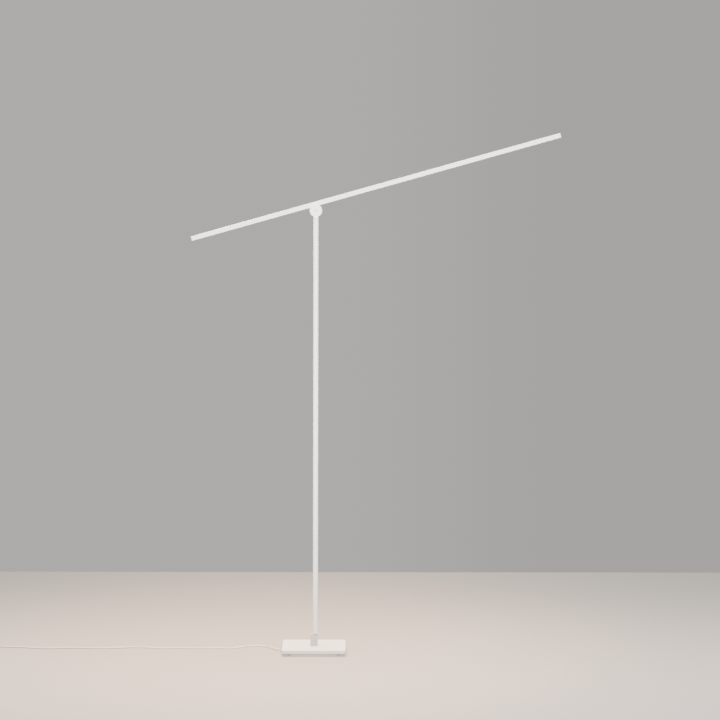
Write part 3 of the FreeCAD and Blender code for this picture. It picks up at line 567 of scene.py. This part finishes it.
def punch(piece, cutters):
    """Cuts holes of the cutters' shape through a piece, and removes the cutters."""
    cutter = join(cutters[0], cutters[1:])
    bpy.ops.object.select_all(action="DESELECT")
    piece.select_set(True)
    bpy.context.view_layer.objects.active = piece
    hole = piece.modifiers.new("hole", "BOOLEAN")
    hole.operation = "DIFFERENCE"
    hole.solver = "EXACT"
    hole.object = cutter
    bpy.ops.object.modifier_apply(modifier=hole.name)
    bpy.data.objects.remove(cutter)


slot_size = (0.0022, 0.020, 0.006)
slot_corner = 0.001
slot_pitch = 0.0055
slots_in_row = 9
slot_rows_x = 0.024
slot_rows_y = 0.022
punches = []
for row_y in (slot_rows_y, -slot_rows_y):
    for n in range(slots_in_row):
        slot_x = slot_rows_x + (n - (slots_in_row - 1) / 2) * slot_pitch
        punches.append(block("slot_punch", (slot_x, row_y, tray_low.z), slot_size))
        bpy.ops.object.mode_set(mode="EDIT")
        pick("edges", along("z"))
        bpy.ops.mesh.bevel(offset=slot_corner, segments=4)
        bpy.ops.object.mode_set(mode="OBJECT")

punch_reach = 0.002
punch_length = 0.006
clamp_hole = 0.0014
clamp_head = 0.0022
clamp_low, clamp_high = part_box("clamp_screws")
clamp_x = (clamp_low.x + clamp_high.x) / 2
clamp_outline = [(0.0, clamp_hole), (punch_length, clamp_hole)]
for clamp_y in (clamp_low.y + clamp_head, clamp_high.y - clamp_head):
    hole_start = Vector((clamp_x, clamp_y, tray_low.z - punch_reach))
    punches.append(turned_piece("screw_hole", hole_start, (0.0, 0.0, 1.0), clamp_outline, 24))
relief_hole = relief_neck + 0.00005
exit_outline = [(0.0, relief_hole), (punch_length, relief_hole)]
exit_start = Vector((wall_outside - punch_reach, 0.0, relief_axis_height))
punches.append(turned_piece("cord_hole", exit_start, (1.0, 0.0, 0.0), exit_outline, 32))
punch(pressed_tray, punches)
soften(pressed_tray, 0.00015, 1, 50.0)
pressed_tray.data.materials.append(steel_coat)
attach(pressed_tray, "base")
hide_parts("driver_tray")


# ---- Feet ----
# Four turned pads of grey elastomer, each screwed up into the plate. The edge on the floor is
# rounded, and a groove round the side and a wide recess leave a soft rim that hides the screw.
foot_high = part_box("base_feet")[1]
foot_radius = 0.0070
foot_sole = 0.0064
screw_recess = 0.0041
screw_hole = 0.0022
foot_outline = [
    (0.0, foot_radius - 0.0003),
    (0.0003, foot_radius),
    (0.0030, foot_radius - 0.0001),
    (0.0034, foot_radius - 0.0006),
    (0.0042, foot_radius - 0.0006),
    (0.0046, foot_radius - 0.0002),
    (0.0106, foot_sole + 0.0001),
    (0.0115, foot_sole - 0.0003),
    (0.0120, foot_sole - 0.0010),
    (0.0120, screw_recess),
    (0.0080, screw_recess),
    (0.0080, screw_hole),
]
foot_x = foot_high.x - foot_radius
foot_y = foot_high.y - foot_radius
pads = []
for side in (-1, 1):
    for end in (-1, 1):
        pad_start = Vector((side * foot_x, end * foot_y, foot_high.z))
        pads.append(turned_piece("foot_pad", pad_start, (0.0, 0.0, -1.0), foot_outline, 48))
        soften(pads[-1], 0.00015)
foot_pads = join(pads[0], pads[1:])
foot_pads.name = "foot_pads"
foot_grey = new_finish("grey_elastomer", (0.26, 0.25, 0.25), 0.7)
two_tones(foot_grey, speckle(foot_grey, 60.0, 6.0), (0.22, 0.215, 0.215), (0.30, 0.29, 0.29))
foot_grain = speckle(foot_grey, 1500.0)
uneven_gloss(foot_grey, foot_grain, 0.6, 0.8)
surface_relief(foot_grey, foot_grain, 0.00006)
foot_pads.data.materials.append(foot_grey)
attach(foot_pads, "base")
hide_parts("base_feet")


# ---- Screws, spacers and spring parts ----
# Bright zinc on the pan screws, spacers and nut, black oxide on the grub screws, and bare steel
# on the rings and disc springs. None shows until the lamp is turned over or taken apart.
def plated_metal(name, dark, light, low_gloss, high_gloss, stretch=(1.0, 1.0, 1.0)):
    """Plated or bare metal with a streaky grain in its colour and gloss."""
    material = new_finish(name, light, high_gloss, 1.0)
    grain = speckle(material, 700.0, 3.0, stretch)
    two_tones(material, grain, dark, light)
    uneven_gloss(material, grain, low_gloss, high_gloss)
    surface_relief(material, grain, 0.00002)
    return material


zinc = plated_metal("zinc_plate", (0.55, 0.57, 0.60), (0.68, 0.69, 0.70), 0.28, 0.45)
coat(zinc, "foot_screws", "tray_screws", "tray_spacers", "clamp_screws", "block_screws")
coat(zinc, "cheek_screws", "saddle_screws", "axle_nut")
black_oxide = plated_metal("black_oxide", (0.035, 0.035, 0.04), (0.07, 0.07, 0.075), 0.35, 0.5)
coat(black_oxide, "swivel_stop_screw", "pole_set_screws")
spring_steel = plated_metal("spring_steel", (0.42, 0.42, 0.44), (0.56, 0.56, 0.57), 0.22, 0.36)
coat(spring_steel, "swivel_washer", "retaining_ring", "disc_springs")


# ---- Supply parts in the tray ----
# A slim encapsulated driver on a foam pad, a terminal block in natural polymer, a cord clamp, and
# the sheathed leads to the driver and up the pole.
coat(moulded("driver_case", (0.79, 0.79, 0.78), (0.84, 0.84, 0.83), 0.4, 0.55), "led_driver")
coat(moulded("terminal_polymer", (0.74, 0.74, 0.70), (0.81, 0.81, 0.78), 0.25, 0.4), "terminal_block")
lead_sheath = moulded("lead_sheath", (0.74, 0.74, 0.72), (0.80, 0.80, 0.78), 0.35, 0.5)
coat(lead_sheath, "mains_lead", "base_lead", "pole_lead", "arm_lead")
foam = new_finish("foam_pad", (0.14, 0.14, 0.14), 0.95)
foam_cells = speckle(foam, 2500.0, 4.0)
two_tones(foam, foam_cells, (0.08, 0.08, 0.08), (0.2, 0.2, 0.2))
surface_relief(foam, foam_cells, 0.0003)
coat(foam, "driver_pad")
natural_polymer = moulded("natural_polymer", (0.80, 0.78, 0.70), (0.86, 0.85, 0.79), 0.3, 0.45)
coat(natural_polymer, "cord_clamp", "upper_bush", "lower_bush", "hub_bush")


# ---- Pole and swivel ----
# A round steel tube, powder coated, on a turned steel spindle that turns in two polymer bushes in
# the foot block. The turned parts keep the fine rings that the lathe left.
coat(steel_coat, "pole_tube")
turned_steel = plated_metal(
    "turned_steel", (0.45, 0.45, 0.47), (0.62, 0.62, 0.64), 0.22, 0.38, (0.15, 0.15, 2.0)
)
coat(turned_steel, "pole_spindle", "swivel_stop_pin", "pole_head", "hub_axle")
lining = new_finish("friction_lining", (0.14, 0.14, 0.15), 0.8)
lining_fibres = speckle(lining, 1500.0, 5.0, (1.0, 1.0, 0.3))
two_tones(lining, lining_fibres, (0.08, 0.08, 0.085), (0.24, 0.23, 0.22))
surface_relief(lining, lining_fibres, 0.0001)
coat(lining, "friction_washers")


# ---- Hub ----
# Two machined aluminium cheeks clamp the pole's eye between them, and a saddle joins them to the
# light bar. Their powder is the same white as the steel's, painted a little darker as painted shade,
# and thin satin caps, painted greyer as painted shade of their recess, close both sides, set back
# inside the cheeks' rims.
# The aluminium parts' coat is darkened below the steel's white as painted shade.
aluminium_painted_shade_coat = powder_coat("powder_coat_on_aluminium", (0.74, 0.73, 0.72))
coat(aluminium_painted_shade_coat, "front_cheek", "rear_cheek", "arm_saddle")
# The caps are white; their grey tone is painted shade of the recess they sit in.
cap_white = moulded("cap_white", (0.59, 0.58, 0.585), (0.65, 0.64, 0.645), 0.32, 0.45)
coat(cap_white, "front_cap", "rear_cap")
mask_white = moulded("board_white", (0.84, 0.85, 0.84), (0.90, 0.91, 0.90), 0.25, 0.35)
coat(mask_white, "dimmer_board", "led_boards")


# ---- Dimmer button ----
# A push button moulded in white, in the middle of the hub's front cap, its colour painted greyer
# as painted shade of the recess. Its face is dished, so that a fingertip finds it without looking,
# and the dish catches light on its lower side.
button_low, button_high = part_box("dimmer_button")
hub_axis = Vector(next(j for j in frame["joints"] if j["name"] == "arm_tilt")["pos_m"])
button_depth = button_high.y - button_low.y
button_flange = (button_high.x - button_low.x) / 2
button_radius = 0.008
flange_thick = 0.00045
dish_radius = 0.0066
dish_depth = 0.0011
dish_rings = 7
button_outline = [(0.0, button_flange), (flange_thick, button_flange)]
button_outline += [(flange_thick, button_radius), (button_depth - 0.0004, button_radius)]
button_outline += [(button_depth - 0.0001, button_radius - 0.0002)]
button_outline += [(button_depth, button_radius - 0.0005), (button_depth, dish_radius)]
for ring in range(1, dish_rings):
    share = ring / dish_rings
    sink = dish_depth * (1 - (1 - share) ** 2)
    button_outline.append((button_depth - sink, dish_radius * (1 - share)))
button_start = Vector((hub_axis.x, button_high.y, hub_axis.z))
dished_button = turned_piece("dished_button", button_start, (0.0, -1.0, 0.0), button_outline, 64)
bpy.ops.object.shade_smooth_by_angle(angle=math.radians(30.0))
# The button's grey tone is painted shade; the real button is white.
button_white = moulded("button_white", (0.62, 0.61, 0.62), (0.68, 0.67, 0.68), 0.25, 0.4)
dished_button.data.materials.append(button_white)
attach(dished_button, "button")
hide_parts("dimmer_button")


# ---- Light bar ----
# An extruded aluminium channel in one piece, powder coated, with a solid insert over the hub and a
# flat plate closing each end. It opens downwards for the light strips and their diffusers.
# The channel takes the aluminium coat, darkened as painted shade.
coat(aluminium_painted_shade_coat, "arm_profile", "hub_insert", "end_caps")


# ---- Light strips and diffusers ----
# White circuit boards with warm light-emitting chips, behind a strip of opal acrylic on each side
# of the hub. The strips are lit, a little brighter under each chip, and warm the floor below.
phosphor = moulded("chip_phosphor", (0.88, 0.70, 0.25), (0.94, 0.80, 0.40), 0.3, 0.45)
shader_of(phosphor).inputs["Emission Color"].default_value = (1.0, 0.78, 0.5, 1.0)
shader_of(phosphor).inputs["Emission Strength"].default_value = 2.0
coat(phosphor, "led_chips")
arm_low, arm_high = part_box("arm_profile")
arm_rise = math.atan2(arm_high.z - arm_low.z, arm_high.x - arm_low.x)
chip_pitch = 0.018
waves_per_scale = 20 / math.tau
opal = new_finish("opal_diffuser", (0.92, 0.90, 0.86), 0.35)
opal_grain = speckle(opal, 1200.0)
two_tones(opal, opal_grain, (0.90, 0.88, 0.83), (0.94, 0.92, 0.88))
uneven_gloss(opal, opal_grain, 0.3, 0.42)
opal_nodes, opal_links = opal.node_tree.nodes, opal.node_tree.links
tilt_pattern = opal_nodes.new("ShaderNodeMapping")
tilt_pattern.vector_type = "TEXTURE"
tilt_pattern.inputs["Location"].default_value = hub_axis
tilt_pattern.inputs["Rotation"].default_value = (0.0, -arm_rise, 0.0)
bands = opal_nodes.new("ShaderNodeTexWave")
bands.inputs["Scale"].default_value = 1 / (waves_per_scale * chip_pitch)
bands.inputs["Distortion"].default_value = 0.0
glow = opal_nodes.new("ShaderNodeMix")
glow.data_type = "RGBA"
glow.inputs["A"].default_value = (1.0, 0.70, 0.43, 1.0)
glow.inputs["B"].default_value = (1.0, 0.76, 0.52, 1.0)
opal_place = opal_nodes.new("ShaderNodeTexCoord")
opal_links.new(opal_place.outputs["Object"], tilt_pattern.inputs["Vector"])
opal_links.new(tilt_pattern.outputs["Vector"], bands.inputs["Vector"])
opal_links.new(bands.outputs["Fac"], glow.inputs["Factor"])
opal_links.new(glow.outputs["Result"], shader_of(opal).inputs["Emission Color"])
shader_of(opal).inputs["Emission Strength"].default_value = 18.0
coat(opal, "diffuser_short", "diffuser_long")


# ---- Floor, air and studio light ----
# A pale floor that ends a metre and a half behind the lamp, painted paler towards the front and
# darker towards the back as painted light falling off, and grey air beyond it. One wide warm light
# hangs overhead, soft spots in front and behind thin out towards the floor, a warm pool stands in
# for the glow round the base, and a strip lifts the shade under it.
floor_back = 1.51
floor_front = -0.8
floor_reach = 14.0
bpy.ops.object.select_all(action="DESELECT")
bpy.ops.mesh.primitive_plane_add(size=1.0, location=(0.0, floor_back - floor_reach / 2, 0.0))
floor = bpy.context.object
floor.name = "studio_floor"
floor.scale = (2 * floor_reach, floor_reach, 1.0)
bpy.ops.object.transform_apply(location=True, rotation=True, scale=True)


def fade_along(tree, coordinates, axis, start, end):
    """A smooth fade along one axis, from 0 where it starts to 1 where it ends."""
    place = tree.nodes.new("ShaderNodeTexCoord")
    split = tree.nodes.new("ShaderNodeSeparateXYZ")
    fade = tree.nodes.new("ShaderNodeMapRange")
    fade.interpolation_type = "SMOOTHSTEP"
    fade.inputs["From Min"].default_value = start
    fade.inputs["From Max"].default_value = end
    tree.links.new(place.outputs[coordinates], split.inputs["Vector"])
    tree.links.new(split.outputs[axis], fade.inputs["Value"])
    return fade.outputs["Result"]


floor_paint = new_finish("floor_paint", (0.42, 0.40, 0.38), 0.9)
# The floor's colour fades from dark at the back to pale at the front, as painted light fall-off.
painted_light_falloff = fade_along(floor_paint.node_tree, "Object", "Y", floor_back, floor_front)
two_tones(floor_paint, painted_light_falloff, (0.21, 0.215, 0.21), (0.48, 0.465, 0.455))
floor.data.materials.append(floor_paint)

air = bpy.data.worlds.new("studio_air")
bpy.context.scene.world = air
air.use_nodes = True
towards_right = fade_along(air.node_tree, "Generated", "X", 0.0, 0.12)
air_mix = air.node_tree.nodes.new("ShaderNodeMix")
air_mix.data_type = "RGBA"
air_mix.inputs["A"].default_value = (0.53, 0.52, 0.505, 1.0)
air_mix.inputs["B"].default_value = (0.46, 0.448, 0.43, 1.0)
air_colour = air.node_tree.nodes["Background"].inputs["Color"]
air.node_tree.links.new(towards_right, air_mix.inputs["Factor"])
air.node_tree.links.new(air_mix.outputs["Result"], air_colour)


def aim(light, target):
    """Turns a light towards a point, and hides its shape from the camera."""
    light.rotation_euler = (Vector(target) - light.location).to_track_quat("-Z", "Y").to_euler()
    light.visible_camera = False


bpy.ops.object.light_add(type="AREA", location=(0.0, 0.8, 5.5))
overhead = bpy.context.object
overhead.name = "overhead_light"
overhead.data.size = 6.0
overhead.data.energy = 1220.0
overhead.data.color = (1.0, 0.87, 0.79)
aim(overhead, (0.0, 0.8, 0.0))


def soft_spot(name, place, target, reach, fade, radius, power, colour):
    """A round light whose cone has a given radius where it meets its target, with a faded edge."""
    bpy.ops.object.light_add(type="SPOT", location=place)
    light = bpy.context.object
    light.name = name
    distance = (Vector(target) - Vector(place)).length
    light.data.spot_size = 2 * math.atan(reach / distance)
    light.data.spot_blend = fade
    light.data.shadow_soft_size = radius
    light.data.energy = power
    light.data.color = colour
    aim(light, target)


front_colour = (0.92, 1.0, 1.0)
soft_spot(
    "front_light", (0.2, -8.0, 1.9), (0.2, 0.0, 1.75),
    reach=1.93, fade=0.7, radius=0.5, power=7500.0, colour=front_colour,
)
soft_spot(
    "back_light", (-1.0, 8.0, 2.1), (0.2, 0.0, 1.8),
    reach=1.8, fade=0.7, radius=0.5, power=3000.0, colour=front_colour,
)
pool_colour = (1.0, 0.48, 0.16)
soft_spot(
    "warm_pool", (-0.2, 0.2, 9.0), (-0.2, 0.2, 0.0),
    reach=1.8, fade=1.0, radius=0.7, power=6700.0, colour=pool_colour,
)
plate_low, plate_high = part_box("base_plate")
gap_depth = tray_low.y - plate_low.y
below_plate = 0.0005
end_margin = 0.005
gap_place = (0.0, plate_low.y + gap_depth / 2, plate_low.z - below_plate)
bpy.ops.object.light_add(type="AREA", location=gap_place)
gap_light = bpy.context.object
gap_light.name = "gap_light"
gap_light.data.shape = "RECTANGLE"
gap_light.data.size = 2 * (plate_high.x - end_margin)
gap_light.data.size_y = gap_depth * 0.8
gap_light.data.energy = 0.06
gap_light.data.color = (1.0, 0.87, 0.76)
gap_light.visible_camera = False
